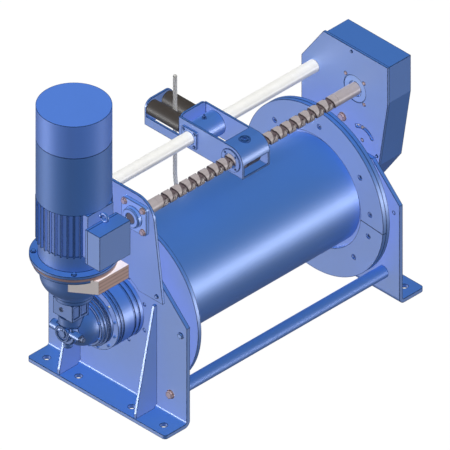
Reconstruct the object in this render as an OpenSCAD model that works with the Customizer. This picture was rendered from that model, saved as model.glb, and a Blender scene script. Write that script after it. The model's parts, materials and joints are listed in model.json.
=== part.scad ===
/* [Drum] */
// Outside diameter of the drum barrel
drum_d = 400; // [360:5:420]
// Wall of the drum barrel
drum_wall = 12; // [8:1:20]
// Length of the barrel between its two end flanges
drum_len = 870; // [700:10:960]
// Diameter of the end flanges
flange_d = 648; // [600:4:664]
// Thickness of each end flange
flange_t = 15; // [12:1:20]
// Thickness of the split ring inside the far flange
ring_t = 16; // [14:1:24]
// Bore of the split ring
ring_bore_d = 436; // [428:2:460]
// Radius of the ring's bolt circle
ring_bolt_r = 263; // [245:1:280]
// Angle of the ring's split line below the horizontal
ring_split_deg = 5; // [0:1:20]
// Height of the drum axis above the floor
axis_h = 350; // [345:5:400]
// Gap from the near frame plate to the drum's near flange
gap_near = 40; // [34:1:60]
// Gap from the drum's far flange to the far frame plate
gap_far = 45; // [38:1:70]

/* [Frame] */
// Thickness of the frame plates and their feet
plate_t = 15; // [12:1:20]
// Width of the frame plates
frame_w = 650; // [640:5:700]
// Height of the straight edge of a frame plate
edge_h = 400; // [380:5:420]
// Height of a frame plate
plate_h = 530; // [515:5:550]
// Reach of a foot beyond the plate's outer face
foot_reach = 102; // [96:1:120]
// Inside radius of the bend between plate and foot
bend_r = 8; // [4:1:12]
// Radius of the feet's outer corners
foot_corner_r = 14; // [5:1:25]
// Diameter of the foot bolt holes
foot_hole_d = 26; // [20:1:30]
// Distance of the foot holes from the plate's outer face
foot_hole_x = 58; // [50:1:70]
// Spacing of the outer pair of foot holes
foot_span_outer = 550; // [520:5:580]
// Spacing of the inner pair of foot holes
foot_span_inner = 250; // [200:5:280]
// Thickness of the gussets
gusset_t = 11; // [8:1:15]
// Spacing of the gussets across the winch, middle to middle
gusset_span = 360; // [340:5:420]
// Height of the gussets' upper end
gusset_h = 430; // [380:5:450]
// Height of the gussets' outer nose
gusset_nose = 18; // [12:1:30]
// Width of the gussets' upper end
gusset_top = 12; // [8:1:20]

/* [Tie rods] */
// Diameter of the tie rods
tie_d = 46; // [36:1:56]
// Spacing of the tie rods across the winch
tie_span = 500; // [470:5:520]
// Height of the tie rods
tie_h = 100; // [80:5:120]
// Thread size of the tie rod bolts
tie_bolt_d = 16; // [12:1:24]

/* [Fasteners] */
// Thread size of the frame and gearbox bolts
bolt_d = 12; // [10:1:14]
// Thread size of the small screws
screw_d = 6; // [5:0.5:7]
// Thread size of the screws near the edges of the frame plates
edge_screw_d = 12; // [8:1:14]
// Thread size of the bolts through tower plate and chain case
tower_bolt_d = 8; // [6:1:10]
// Radial clearance of a bolt in its hole
bolt_gap = 0.5; // [0.2:0.1:0.8]
// Radial clearance of a shaft in its bearing
run_gap = 0.05; // [0.03:0.01:0.1]
// Clearance between pieces that are fitted into one another
seat_gap = 0.05; // [0.02:0.01:0.2]
// Gap between surfaces that move past one another
move_gap = 0.3; // [0.2:0.1:0.8]

/* [Tower plate] */
// Thickness of the tower plate
tower_t = 10; // [8:1:14]
// Height of the tower plate's lower edge
tower_foot_h = 454; // [445:1:465]
// Width of the tower plate at its lower edge
tower_foot_w = 444; // [430:2:480]
// Width of the tower plate at the level of the screw
tower_w = 364; // [350:2:420]
// Radius of the cut-out round the gearbox
tower_cut_r = 150; // [138:1:160]
// Spacing of the tower plate's bolts
tower_bolt_span = 390; // [370:5:400]
// Height of the tower plate's bolts
tower_bolt_h = 475; // [468:1:482]

/* [Level wind] */
// Height of the level-wind screw and of the guide rod
screw_h = 760; // [755:5:820]
// Distance of the screw in front of the drum axis
screw_y = 100; // [90:5:105]
// Diameter of the level-wind screw
screw_dia = 46; // [40:1:50]
// Advance of the groove in one turn
lead = 43; // [38:1:48]
// Depth of the groove
groove_depth = 5; // [3:0.5:6]
// Diameter of the screw's journals
journal_d = 40; // [32:1:40]
// Plain land at each end of the grooves
end_land = 8; // [4:1:15]
// Diameter of the guide rod
rod_d = 47; // [38:1:50]
// Distance of the guide rod behind the drum axis
rod_y = 90; // [85:5:100]
// Thread size of the bolts in the guide rod's ends
rod_bolt_d = 16; // [12:1:18]
// Side of the bearing units' square flange
bearing_side = 116; // [112:1:124]
// Spacing of the bearing units' bolts
bearing_span = 86; // [80:1:88]
// Thickness of the bearing units' flange
bearing_flange_t = 14; // [10:1:18]
// Length of the bearing unit's hub
bearing_hub_l = 32; // [26:1:36]
// Diameter of the bearing unit's hub
bearing_hub_d = 76; // [66:1:80]
// Diameter of the opening for the far bearing
bearing_open_d = 102; // [96:1:106]

/* [Chain drive] */
// Pitch of the chain
pitch = 15.875; // [12.7:0.005:15.875]
// Roller diameter of the chain
roller_d = 10.16; // [8:0.01:10.16]
// Teeth of the drum's sprocket
teeth_drum = 12; // [11:1:15]
// Teeth of the screw's sprocket
teeth_screw = 32; // [28:1:34]
// Teeth of the idler
teeth_idler = 20; // [14:1:20]
// Thickness of the sprockets' teeth
tooth_t = 9; // [7:0.5:10]
// Distance of the chain from the case plate
chain_off = 37; // [36:1:50]
// Gap between the teeth of the idler and of the screw's sprocket
idler_gap = 11.474; // [8:0.001:20]
// Lean of the line from the screw down to the idler
idler_lean = 22.011; // [18:0.001:26]
// Diameter of the idler's axle
axle_d = 20; // [14:1:24]
// Distance of the tensioner's pivot in front of the idler
tens_ahead = 92; // [88:1:98]
// Distance of the tensioner's pivot below the idler
tens_below = 50; // [44:1:58]
// Radius of the tensioner's slot
slot_r = 52; // [45:1:56]
// Length of the tensioner's arm
arm_l = 80; // [76:1:84]
// Thickness of the chain
chain_t = 8; // [6:1:10]

/* [Chain case] */
// Thickness of the case plate
case_t = 10; // [8:1:12]
// Top of the case plate
case_top = 920; // [905:5:940]
// Front edge of the case plate
case_front = 254; // [248:1:270]
// Back edge of the case plate
case_back = 151; // [145:1:170]
// Radius of the case's lower end
case_low_r = 95; // [86:1:105]
// Depth of the cover
case_depth = 105; // [100:1:125]
// Wall of the cover
cover_t = 3; // [2:0.5:5]
// Rim of the plate that stands outside the cover
case_rim = 6; // [3:1:10]

/* [Gearbox] */
// Diameter of the planetary barrel
barrel_d = 244; // [220:2:250]
// Length of the planetary barrel outside the frame
barrel_l = 118; // [110:1:130]
// Depth of the barrel's grooves
barrel_groove = 3; // [1:0.5:6]
// Diameter of the gearbox's mounting flange
mount_flange_d = 300; // [290:2:310]
// Thickness of the gearbox's mounting flange
mount_flange_t = 18; // [14:1:20]
// Diameter of the first planetary stage
stage_d = 198; // [180:2:200]
// Length of the first planetary stage
stage_l = 32; // [28:1:40]
// Diameter of the bevel housing's flange
bevel_flange_d = 176; // [168:2:184]
// Thickness of the bevel housing's flange
bevel_flange_t = 12; // [10:1:14]
// Diameter of the bevel housing
bevel_d = 156; // [146:2:160]
// Radius of the bevel housing's dome
bevel_dome_r = 70; // [60:1:76]
// Diameter of the bevel housing's end boss
boss_d = 62; // [50:2:66]
// Length of the end boss
boss_l = 25; // [18:1:30]
// Diameter of the step between dome and end boss
step_d = 92; // [80:2:100]
// Length of the step beyond the dome
step_l = 12; // [6:1:16]
// Reach of the front lug from the drum axis
lug_front = 73; // [60:1:80]
// Reach of the rear lug from the drum axis
lug_rear = 60; // [50:1:76]
// Reach of the input block from the motor axis towards the end boss
block_end = 53; // [48:1:60]
// Reach of the input block from the motor axis towards the drum
block_in = 24; // [20:1:30]
// Depth of the input block across the drum axis
block_d = 90; // [80:2:100]
// Height of the input block's top above the drum axis
block_top = 130; // [120:2:140]
// Height of the input block
block_h = 66; // [60:1:70]
// Length of the output shaft in the gearbox
out_shaft_l = 88; // [60:2:100]
// Diameter of the output shaft
out_shaft_d = 80; // [70:2:90]

/* [Motor] */
// Distance of the motor axis from the near frame plate
motor_x = 205; // [200:1:230]
// Diameter of the neck below the bell
neck_d = 142; // [130:2:150]
// Height of the neck
neck_h = 25; // [20:1:30]
// Diameter of the bell
bell_d = 232; // [220:2:240]
// Radius of the bell's round bottom
bell_round = 70; // [60:1:80]
// Height of the bell
bell_h = 115; // [100:1:125]
// Thickness of the bell's flange
bell_flange_t = 14; // [10:1:16]
// Diameter of the adapter ring
adapter_d = 292; // [286:2:298]
// Thickness of the adapter ring
adapter_t = 12; // [10:1:14]
// Width of the adapter's front face
tab_w = 141; // [120:1:150]
// Offset of the front face's middle from the motor axis
tab_off = 34; // [24:1:40]
// Distance of the adapter's front face from the motor axis
tab_y = 153; // [149:1:158]
// Height of the adapter's front face
tab_h = 54; // [44:1:56]
// Diameter of the motor's flange
motor_flange_d = 300; // [296:2:304]
// Thickness of the motor's flange
motor_flange_t = 11; // [9:1:14]
// Diameter of the motor's end shield
shield_d = 240; // [230:2:244]
// Height of the motor's end shield
shield_h = 61; // [50:1:70]
// Diameter over the motor's fins
fin_d = 258; // [252:2:264]
// Depth of the fins
fin_depth = 11; // [8:1:14]
// Thickness of the fins
fin_t = 5; // [3:0.5:7]
// Number of fins round the motor
fin_count = 36; // [28:2:40]
// Height of the finned stator
stator_h = 173; // [165:1:200]
// Diameter of the fan cowl
cowl_d = 256; // [252:2:264]
// Height of the fan cowl
cowl_h = 234; // [200:2:260]
// Height of the brake cap
cap_h = 130; // [100:2:150]
// Width of the terminal box
tbox_w = 144; // [130:2:160]
// Height of the terminal box
tbox_h = 138; // [120:2:144]
// Distance of the terminal box's front from the motor axis
tbox_y = 193; // [185:1:210]
// Depth of the terminal box's lid
lid_d = 58; // [40:1:60]

/* [Carriage] */
// Width of the carriage along the screw
car_w = 127; // [120:1:140]
// Thickness of the carriage's side plates
car_t = 8; // [6:1:10]
// Radius of the carriage's nose round the screw
nose_r = 55; // [54:1:60]
// Wall of the nose
nose_t = 8; // [5:1:8]
// Reach of the nose's roof behind the screw axis
roof_back = 36; // [30:1:54]
// Depth of the side plates below the screw axis
car_low = 52; // [44:1:58]
// Back face of the carriage's cross plate behind the drum axis
cross_y = 146; // [140:1:150]
// Height of the cross plate above the screw axis
cross_top = 64; // [60:1:80]
// Diameter of the rod bush housing
rod_house_d = 90; // [80:2:96]
// Side of the square bush flanges
bush_side = 70; // [64:1:80]
// Thickness of the square bush flanges
bush_flange_t = 8; // [5:1:10]
// Diameter of the follower cap
fcap_d = 38; // [30:1:44]
// Diameter of the follower's tongue
tongue_d = 9; // [7:0.5:9.5]

/* [Rope and rollers] */
// Diameter of the rope
rope_d = 15; // [12:0.5:16]
// Distance of the rope behind its seat on the drum, where it passes the rollers
rope_out = 19; // [0:1:25]
// Diameter of the guide rollers
groller_d = 57; // [45:1:62]
// Height of the rollers' axes above the screw axis
groller_up = 4; // [0:1:15]
// Length of the guide rollers
groller_l = 151; // [140:1:160]
// Diameter of the rollers' pins
pin_d = 20; // [14:1:22]
// Height of the bracket's strips
strip_h = 34; // [25:1:38]
// Thickness of the bracket
bracket_t = 8; // [6:1:10]

/* [Hidden] */
$fn = 96;
BLUE = [0.30, 0.45, 0.74];
DEEP = [0.20, 0.31, 0.55];
STEEL = [0.80, 0.80, 0.78];
SCREW = [0.62, 0.58, 0.55];
BOLTS = [0.78, 0.66, 0.64];
TAN = [0.90, 0.78, 0.70];
DARK = [0.26, 0.25, 0.25];
BRONZE = [0.72, 0.55, 0.32];
GREY = [0.72, 0.73, 0.72];
BRIGHT = [0.45, 0.58, 0.85];

// Frame stations along the drum axis, the near side at -X
frame_inner = gap_near + 2 * flange_t + drum_len + gap_far;
x_in = frame_inner / 2;
x_out = x_in + plate_t;
x_nf0 = -x_in + gap_near;
x_nf1 = x_nf0 + flange_t;
x_ff0 = x_nf1 + drum_len;
x_ff1 = x_ff0 + flange_t;
x_ring = x_ff0 - ring_t;
foot_x = x_out + foot_hole_x;
drum_r = drum_d / 2;
drum_bore_r = 60;
shaft_r = 35;
hub_flange_t = 12;
hub_flange_w = 30;

// Self-reversing screw: one groove each way, crossing at the top and the bottom
wind_len = x_ring - x_nf1;
crossings = floor((wind_len - rope_d) / lead);
groove_w = lead / 4;
screw_r = screw_dia / 2;
floor_r = screw_r - groove_depth;
journal_r = journal_d / 2;
x_s = (x_nf1 + x_ring) / 2;
thread_half = (crossings * lead + groove_w) / 2 + end_land;
stroke = crossings * lead;
stations = 24;

// Chain drive
x_case = x_out + case_t;
x_chain = x_case + chain_off;
function pr(n) = pitch / sin(180 / n) / 2;
function tip(n) = pr(n) + 0.28 * pitch;
shaft_end_r = 16;
tooth_half = tooth_t / 2;
shoe_r = 15;
drum_hub_r = 22;
screw_hub_r = 32;
hub_l = 16;
idler_far = tip(teeth_screw) + tip(teeth_idler) + idler_gap;
idler_y = screw_y - idler_far * sin(idler_lean);
idler_h = screw_h - idler_far * cos(idler_lean);
tens_y = idler_y + tens_ahead;
tens_h = idler_h - tens_below;

// Gearbox and motor stations
x_bar = -x_out - barrel_l;
x_stage = x_bar - stage_l;
x_bevel = x_stage - bevel_flange_t;
x_m = -x_out - motor_x;
x_round = x_bevel - 6.5;
x_dome = x_round - bevel_dome_r;
x_block = x_m - (block_end - block_in) / 2;
x_lug = x_m - 39.5;
lug_z = axis_h + 7;
foot_boss_x = x_m - 28.5;
foot_boss_z = axis_h - 62;
z_neck = axis_h + block_top;
z_block = z_neck - block_h;
z_bell = z_neck + neck_h;
z_bfl = z_bell + bell_h;
z_ad = z_bfl + bell_flange_t;
z_mfl = z_ad + adapter_t;
z_shield = z_mfl + motor_flange_t;
z_stator = z_shield + shield_h;
z_cowl = z_stator + stator_h;
z_cap = z_cowl + cowl_h;
z_top = z_cap + cap_h;
fin_root_r = fin_d / 2 - fin_depth;
pad_y = fin_d / 2 - 4;
tbox_z = z_stator - 11;

// Carriage and rope
car_h = car_w / 2;
car_in = car_h - car_t;
rope_y = drum_r + rope_d / 2 + 0.5;
rope_r = rope_d / 2;
groller_x = rope_r + move_gap + groller_d / 2;
bracket_in = groller_l + 2;
roller_y0 = cross_y + (bracket_in - groller_l) / 2;
bracket_y1 = cross_y + bracket_in;
z_roll = screw_h + groller_up;
bracket_low = screw_h - car_low - 5;
// Heights of the rope's points, from the drum to its free end
rope_route = [350, 400, 450, 490, 530, 610, 740, 820, 910];
// Heights between which the rope leans in to the drum
rope_lean = [370, 520];
function eased(t) = let (u = min(1, max(0, t))) u * u * (3 - 2 * u);
function rope_back(z) = rope_y
  + rope_out * eased((z - rope_lean[0]) / (rope_lean[1] - rope_lean[0]));
rope_sides = 12;

// Round bar along X, along Y and along Z
module xc(r, x0, x1, y = 0, z = 0) {
  translate([x0, y, z]) rotate([0, 90, 0]) cylinder(r = r, h = x1 - x0);
}
module yc(r, y0, y1, x = 0, z = 0) {
  translate([x, y0, z]) rotate([-90, 0, 0]) cylinder(r = r, h = y1 - y0);
}
module zc(r, z0, z1, x = 0, y = 0) {
  translate([x, y, z0]) cylinder(r = r, h = z1 - z0);
}
module block(x0, x1, y0, y1, z0, z1) {
  translate([x0, y0, z0]) cube([x1 - x0, y1 - y0, z1 - z0]);
}
// Outline in Y and Z drawn out along X, and outline in X and Z drawn out along Y
module along_x(x0, x1) {
  translate([x0, 0, 0]) rotate([90, 0, 90]) linear_extrude(x1 - x0) children();
}
module along_y(y0, y1) {
  translate([0, y1, 0]) rotate([90, 0, 0]) linear_extrude(y1 - y0) children();
}
module turned_x(y, z) {
  translate([0, y, z]) rotate([0, 90, 0]) rotate_extrude() children();
}
// Plain rectangle with four round corners
module rounded(x0, x1, y0, y1, r) {
  translate([x0 + r, y0]) square([x1 - x0 - 2 * r, y1 - y0]);
  translate([x0, y0 + r]) square([x1 - x0, y1 - y0 - 2 * r]);
  for (x = [x0 + r, x1 - r], y = [y0 + r, y1 - r]) translate([x, y]) circle(r);
}
// Hexagon bolt: its head stands on the plane z = 0 and its shank hangs below
module hexbolt(d, grip) {
  cylinder(r = 1.05 * d, h = 0.15 * d);
  cylinder(r = 0.9 * d, h = 0.7 * d, $fn = 6);
  translate([0, 0, -grip]) cylinder(r = d / 2, h = grip + 0.1 * d);
}
// The same bolt with its head towards +X (dir = 1) or towards -X (dir = -1)
module xbolt(dir, x, y, z, d, grip) {
  translate([x, y, z]) rotate([0, 90 * dir, 0]) hexbolt(d, grip);
}
// Cap screw with a hexagon socket, head on the plane z = 0
module capscrew(d, grip) {
  difference() {
    union() {
      cylinder(r = 0.85 * d, h = d);
      translate([0, 0, -grip]) cylinder(r = d / 2, h = grip + 0.1 * d);
    }
    translate([0, 0, d / 2]) cylinder(r = 0.45 * d, h = d, $fn = 6);
  }
}
module near_side() {
  mirror([1, 0, 0]) children();
}

// Frame plate with its bent foot, drawn for the far side
module bent_plate() {
  ro = bend_r + plate_t;
  difference() {
    intersection() {
      union() {
        block(x_in, x_out, -frame_w / 2, frame_w / 2, ro, plate_h);
        translate([0, 0, 0]) linear_extrude(plate_t) difference() {
          rounded(x_in, x_out + foot_reach, -frame_w / 2, frame_w / 2, foot_corner_r);
          translate([x_in - 1, -frame_w]) square([ro + 1, 2 * frame_w]);
        }
        difference() {
          yc(ro, -frame_w / 2, frame_w / 2, x_in + ro, ro);
          yc(bend_r, -frame_w, frame_w, x_in + ro, ro);
          block(x_in + ro, x_in + 3 * ro, -frame_w, frame_w, -ro, 3 * ro);
          block(x_in - 1, x_in + 3 * ro, -frame_w, frame_w, ro, 3 * ro);
        }
      }
      along_x(x_in - 1, x_out + foot_reach + 1) polygon([
        [-frame_w / 2, 0], [frame_w / 2, 0], [frame_w / 2, edge_h],
        [frame_w / 2 - (plate_h - edge_h), plate_h],
        [-frame_w / 2 + (plate_h - edge_h), plate_h], [-frame_w / 2, edge_h]
      ]);
    }
    for (y = [-1, 1] * foot_span_outer / 2) zc(foot_hole_d / 2, -1, plate_t + 1, foot_x, y);
    for (y = [-1, 1] * foot_span_inner / 2) zc(foot_hole_d / 2, -1, plate_t + 1, foot_x, y);
    for (y = [-1, 1] * tie_span / 2) xc(tie_bolt_d / 2 + bolt_gap, x_in - 1, x_out + 1, y, tie_h);
    for (y = [-1, 1] * (frame_w / 2 - 27)) {
      xc(edge_screw_d / 2 + bolt_gap, x_in - 1, x_out + 1, y, edge_h - 38);
    }
  }
}
module near_frame_plate() {
  color(BLUE) difference() {
    near_side() bent_plate();
    xc(barrel_d / 2 + seat_gap, -x_out - 1, -x_in + 1, 0, axis_h);
    for (y = [-1, 1] * tower_bolt_span / 2) {
      xc(tower_bolt_d / 2 + bolt_gap, -x_out - 1, -x_in + 1, y, tower_bolt_h);
    }
    for (a = [22.5 : 45 : 337.5]) rotate_about_drum(a) {
      xc(bolt_d / 2 + bolt_gap, -x_out - 1, -x_in + 1, mount_bolt_r, 0);
    }
  }
}
mount_bolt_r = (barrel_d + mount_flange_d) / 4;
module rotate_about_drum(a) {
  translate([0, 0, axis_h]) rotate([a, 0, 0]) children();
}
module far_frame_plate() {
  color(BLUE) difference() {
    bent_plate();
    xc(drum_bore_r + seat_gap, x_in - 1, x_out + 1, 0, axis_h);
    for (y = case_bolt_y) xc(tower_bolt_d / 2 + bolt_gap, x_in - 1, x_out + 1, y, case_bolt_h);
    for (a = [45 : 90 : 315]) rotate_about_drum(a) {
      xc(bolt_d / 2 + bolt_gap, x_in - 1, x_out + 1, drum_bearing_bolt_r, 0);
    }
  }
}
case_bolt_y = [-150, 110];
case_bolt_h = 455;
drum_bearing_bolt_r = 78;
// Triangular gussets between plate and foot
module gusset_pair() {
  for (y = [-1, 1] * gusset_span / 2) {
    along_y(y - gusset_t / 2, y + gusset_t / 2) difference() {
      polygon([
        [x_out, plate_t], [x_out + foot_reach - 4, plate_t],
        [x_out + foot_reach - 4, plate_t + gusset_nose],
        [x_out + gusset_top, gusset_h], [x_out, gusset_h]
      ]);
      translate([x_out, plate_t]) circle(bend_r + 4);
    }
  }
}
module foot_gussets() {
  color(BLUE) {
    gusset_pair();
    near_side() gusset_pair();
  }
}
module tie_rods() {
  color(GREY) for (y = [-1, 1] * tie_span / 2) difference() {
    xc(tie_d / 2, -x_in, x_in, y, tie_h);
    for (s = [0, 1]) mirror([s, 0, 0]) {
      xc(tie_bolt_d / 2 + bolt_gap, x_in - 2.4 * tie_bolt_d, x_in + 1, y, tie_h);
    }
  }
}
module tie_rod_bolts() {
  color(BOLTS) for (y = [-1, 1] * tie_span / 2, s = [-1, 1]) {
    xbolt(s, s * x_out, y, tie_h, tie_bolt_d, plate_t + 2 * tie_bolt_d);
  }
}
// Small screws near the front and back edges of both frame plates
module plate_screws() {
  color(BOLTS) for (y = [-1, 1] * (frame_w / 2 - 27), s = [-1, 1]) {
    xbolt(s, s * x_out, y, edge_h - 38, edge_screw_d, plate_t);
  }
}

// Tower plate that carries the near ends of screw and guide rod
module tower_outline() {
  difference() {
    union() {
      polygon([
        [-tower_foot_w / 2, tower_foot_h], [tower_foot_w / 2, tower_foot_h],
        [tower_w / 2, screw_h], [tower_w / 2 - tower_cor, screw_h + tower_cor],
        [-tower_w / 2 + tower_cor, screw_h + tower_cor], [-tower_w / 2, screw_h]
      ]);
      for (s = [-1, 1]) translate([s * (tower_w / 2 - tower_cor), screw_h]) circle(tower_cor);
    }
    translate([0, axis_h]) circle(tower_cut_r);
  }
}
tower_cor = tower_w / 2 - screw_y;
module tower_plate() {
  color(BLUE) difference() {
    along_x(-x_out - tower_t, -x_out) tower_outline();
    xc(journal_r + 2, -x_out - tower_t - 1, -x_out + 1, -screw_y, screw_h);
    xc(rod_bolt_d / 2 + bolt_gap, -x_out - tower_t - 1, -x_out + 1, rod_y, screw_h);
    for (y = [-1, 1] * tower_bolt_span / 2) {
      xc(tower_bolt_d / 2 + bolt_gap, -x_out - tower_t - 1, -x_out + 1, y, tower_bolt_h);
    }
    for (a = [-1, 1], b = [-1, 1]) {
      xc(bolt_d / 2 + bolt_gap, -x_out - tower_t - 1, -x_out + 1,
        -screw_y + a * bearing_span / 2, screw_h + b * bearing_span / 2);
    }
  }
}
module tower_bolts() {
  color(BOLTS) for (y = [-1, 1] * tower_bolt_span / 2) {
    xbolt(-1, -x_out - tower_t, y, tower_bolt_h, tower_bolt_d, tower_t + plate_t);
  }
  color(BOLTS) for (y = case_bolt_y) {
    xbolt(-1, x_in, y, case_bolt_h, tower_bolt_d, plate_t + case_t);
  }
}
module guide_rod() {
  color(STEEL) difference() {
    xc(rod_d / 2, -x_out, x_out, rod_y, screw_h);
    for (s = [0, 1]) mirror([s, 0, 0]) {
      xc(rod_bolt_d / 2 + bolt_gap, x_out - 2.4 * rod_bolt_d, x_out + 1, rod_y, screw_h);
    }
  }
}
module guide_rod_bolts() {
  color(BOLTS) {
    xbolt(-1, -x_out - tower_t, rod_y, screw_h, rod_bolt_d, tower_t + 2 * rod_bolt_d);
    xbolt(1, x_case, rod_y, screw_h, rod_bolt_d, case_t + 2 * rod_bolt_d);
  }
}

// Flanged bearing unit, its flange on the plane x = 0 and its hub towards +X
module bearing_unit(bore_r) {
  difference() {
    union() {
      along_x(0, bearing_flange_t) {
        rounded(-bearing_side / 2, bearing_side / 2, -bearing_side / 2, bearing_side / 2, 14);
      }
      xc(bearing_hub_d / 2, 0, bearing_hub_l - 4);
      turned_x(0, 0) polygon([
        [0, bearing_hub_l - 4], [bearing_hub_d / 2, bearing_hub_l - 4],
        [bearing_hub_d / 2 - 4, bearing_hub_l], [0, bearing_hub_l]
      ]);
    }
    xc(bore_r, -1, bearing_hub_l + 1);
    for (a = [-1, 1], b = [-1, 1]) {
      xc(bolt_d / 2 + bolt_gap, -1, bearing_flange_t + 1,
        a * bearing_span / 2, b * bearing_span / 2);
    }
  }
}
module screw_bearing_near() {
  color(BRIGHT) translate([-x_out - tower_t, -screw_y, screw_h]) mirror([1, 0, 0]) {
    bearing_unit(journal_r + run_gap);
  }
}
module screw_bearing_far() {
  color(BRIGHT) translate([x_case, -screw_y, screw_h]) difference() {
    union() {
      bearing_unit(journal_r + run_gap);
      difference() {
        xc(bearing_open_d / 2 - seat_gap, -case_t + 1.5, 1);
        xc(journal_r + run_gap, -case_t, 2);
      }
    }
    xc(screw_r + 5, -case_t - 1, -1);
  }
}
module bearing_bolts() {
  color(BOLTS) for (a = [-1, 1], b = [-1, 1]) {
    xbolt(-1, -x_out - tower_t - bearing_flange_t, -screw_y + a * bearing_span / 2,
      screw_h + b * bearing_span / 2, bolt_d, bearing_flange_t + tower_t);
    xbolt(1, x_case + bearing_flange_t, -screw_y + a * bearing_span / 2,
      screw_h + b * bearing_span / 2, bolt_d, bearing_flange_t + case_t + 2);
  }
}

// Outline of the chain case, drawn in by d on every side
CC = [0, axis_h];
case_corner = [
  [case_back, 470], [case_back, 775], [49, case_top],
  [-case_front, case_top], [-case_front, 769], [-210, 490]
];
function unit(v) = v / norm(v);
function left(v) = [-v[1], v[0]];
function cross2(a, b) = a[0] * b[1] - a[1] * b[0];
// Point where the line from p touches the circle r about c, on the side s
function touch(p, c, r, s) = let (
    v = p - c, d = norm(v), a = acos(r / d)
  ) c + r * [cos(s * a) * v[0] - sin(s * a) * v[1], sin(s * a) * v[0] + cos(s * a) * v[1]] / d;
function meet(a, u, b, v) = a + u * cross2(b - a, v) / cross2(u, v);
// The straight sides run into the round bottom 1 mm inside its edge
touch_r = case_low_r - 1;
touch_back = touch(case_corner[0], CC, touch_r, -1);
touch_front = touch(case_corner[5], CC, touch_r, 1);
case_run = concat([touch_back], case_corner, [touch_front]);
function case_line(i) = unit(case_run[i + 1] - case_run[i]);
function case_inset(d) = [
  for (i = [1 : 6]) meet(
    case_run[i] + d * left(case_line(i - 1)), case_line(i - 1),
    case_run[i] + d * left(case_line(i)), case_line(i))
];
module case_outline(d) {
  translate(CC) circle(case_low_r - d);
  polygon(concat(
    [CC + (touch_back - CC) * (1 - d / touch_r)], case_inset(d),
    [CC + (touch_front - CC) * (1 - d / touch_r), CC]
  ));
}
boss_in = case_rim + cover_t + 6;
// Lean of the case's front wall, which the lower screw follows
case_lean = (case_front - 210) / (769 - 490);
case_screw_at = [
  [-204 - case_lean * (plate_h - 530), plate_h + 8],
  [-85, case_top - boss_in],
  [case_back - boss_in, plate_h + 30]
];
module chain_case_plate() {
  color(BLUE) difference() {
    along_x(x_out, x_case) case_outline(0);
    xc(drum_bore_r + seat_gap, x_out - 1, x_case + 1, 0, axis_h);
    xc(bearing_open_d / 2, x_out - 1, x_case + 1, -screw_y, screw_h);
    xc(rod_bolt_d / 2 + bolt_gap, x_out - 1, x_case + 1, rod_y, screw_h);
    xc(axle_d / 2 + seat_gap, x_out - 1, x_case + 1, -idler_y, idler_h);
    xc(6 + seat_gap, x_out - 1, x_case + 1, -tens_y, tens_h);
    for (a = [-1, 1], b = [-1, 1]) {
      xc(bolt_d / 2 + bolt_gap, x_out - 1, x_case + 1,
        -screw_y + a * bearing_span / 2, screw_h + b * bearing_span / 2);
    }
    for (y = case_bolt_y) xc(tower_bolt_d / 2 + bolt_gap, x_out - 1, x_case + 1, y, case_bolt_h);
    for (p = case_screw_at) xc(screw_d / 2 + bolt_gap, x_out - 1, x_case + 1, p[0], p[1]);
    for (a = [45 : 90 : 315]) rotate_about_drum(a) {
      xc(bolt_d / 2 + bolt_gap, x_out - 1, x_case + 1, drum_bearing_bolt_r, 0);
    }
    translate([x_out - 1, -tens_y, tens_h]) slot(case_t + 2);
  }
}
// Arc slot for the tensioner's stud
slot_from = 60;
slot_to = 149;
module slot(h) {
  rotate([90, 0, 90]) linear_extrude(h) {
    difference() {
      circle(slot_r + 6.5);
      circle(slot_r - 6.5);
      polygon([
        [0, 0], 3 * slot_r * [cos(slot_to), sin(slot_to)], [-3 * slot_r, -3 * slot_r],
        [3 * slot_r, -3 * slot_r], 3 * slot_r * [cos(slot_from), sin(slot_from)]
      ]);
    }
    for (a = [slot_from, slot_to]) translate(slot_r * [cos(a), sin(a)]) circle(6.8);
  }
}
module chain_case_cover() {
  color(DEEP) difference() {
    along_x(x_case, x_case + case_depth) case_outline(case_rim);
    difference() {
      along_x(x_case - 1, x_case + case_depth - cover_t) case_outline(case_rim + cover_t);
      for (p = case_screw_at) xc(9, x_case - 2, x_case + 22, p[0], p[1]);
    }
    for (p = case_screw_at) xc(screw_d / 2 + bolt_gap, x_case - 1, x_case + 18, p[0], p[1]);
  }
}
module case_screws() {
  color(BOLTS) for (p = case_screw_at) {
    xbolt(-1, x_out, p[0], p[1], screw_d, case_t + 14);
  }
}

// Bearing of the drum's far journal
module drum_bearing_far() {
  color(BRIGHT) difference() {
    union() {
      xc(drum_bearing_bolt_r + 17, x_in - 16, x_in, 0, axis_h);
      xc(drum_bore_r, x_in - 1, x_case + 6, 0, axis_h);
    }
    xc(shaft_r + run_gap, x_in - 17, x_case + 7, 0, axis_h);
    for (a = [45 : 90 : 315]) rotate_about_drum(a) {
      xc(bolt_d / 2 + bolt_gap, x_in - 17, x_in + 1, drum_bearing_bolt_r, 0);
    }
  }
}
module drum_mount_bolts() {
  color(BOLTS) {
    for (a = [45 : 90 : 315]) rotate_about_drum(a) {
      xbolt(-1, x_in - 16, drum_bearing_bolt_r, 0, bolt_d, 16 + plate_t + case_t - 2);
    }
    for (a = [22.5 : 45 : 337.5]) rotate_about_drum(a) {
      xbolt(1, -x_in + mount_flange_t, mount_bolt_r, 0, bolt_d, mount_flange_t + plate_t - 2);
    }
  }
}

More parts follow.
